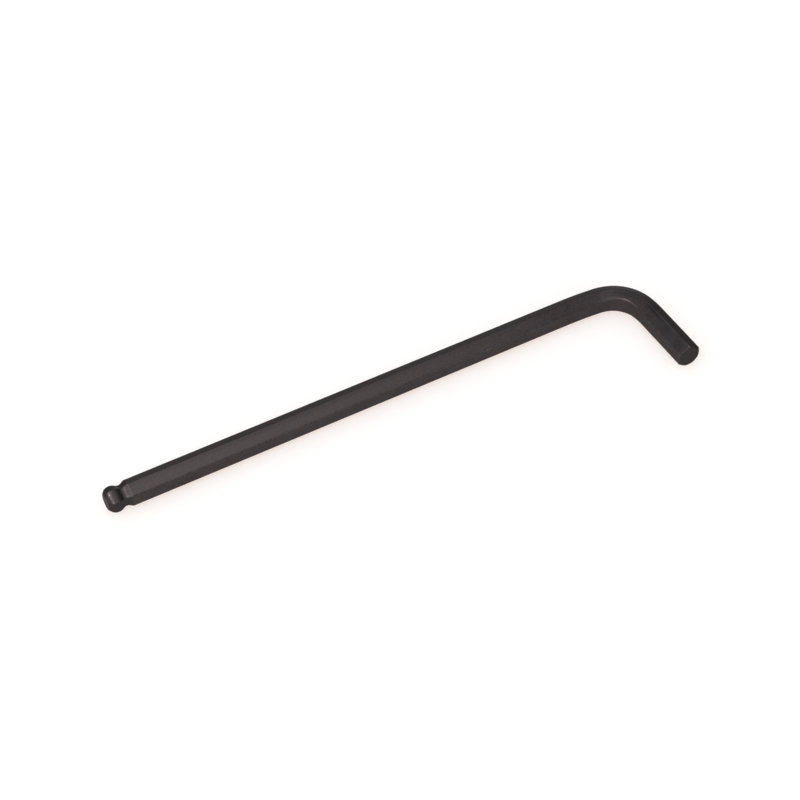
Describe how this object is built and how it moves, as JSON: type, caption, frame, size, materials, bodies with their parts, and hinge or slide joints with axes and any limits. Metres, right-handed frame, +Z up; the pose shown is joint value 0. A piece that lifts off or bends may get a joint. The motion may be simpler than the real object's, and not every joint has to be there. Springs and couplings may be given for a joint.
{
  "type": "hex key",
  "caption": "Long-arm hex key, bent once from six-sided steel bar, with a ball ground on its long end and a chamfered short end.",
  "frame": {"origin": "middle of the key's outline seen from above, on the surface it lies on", "axes": "+X along the long arm towards the ball, +Y along the short arm towards its end face, +Z up from the surface"},
  "size_m": [0.205, 0.0434, 0.0091],
  "materials": {
    "black_oxide_steel": "satin"
  },
  "bodies": {
    "root": {"hex_key": "black_oxide_steel"}
  },
  "joints": []
}
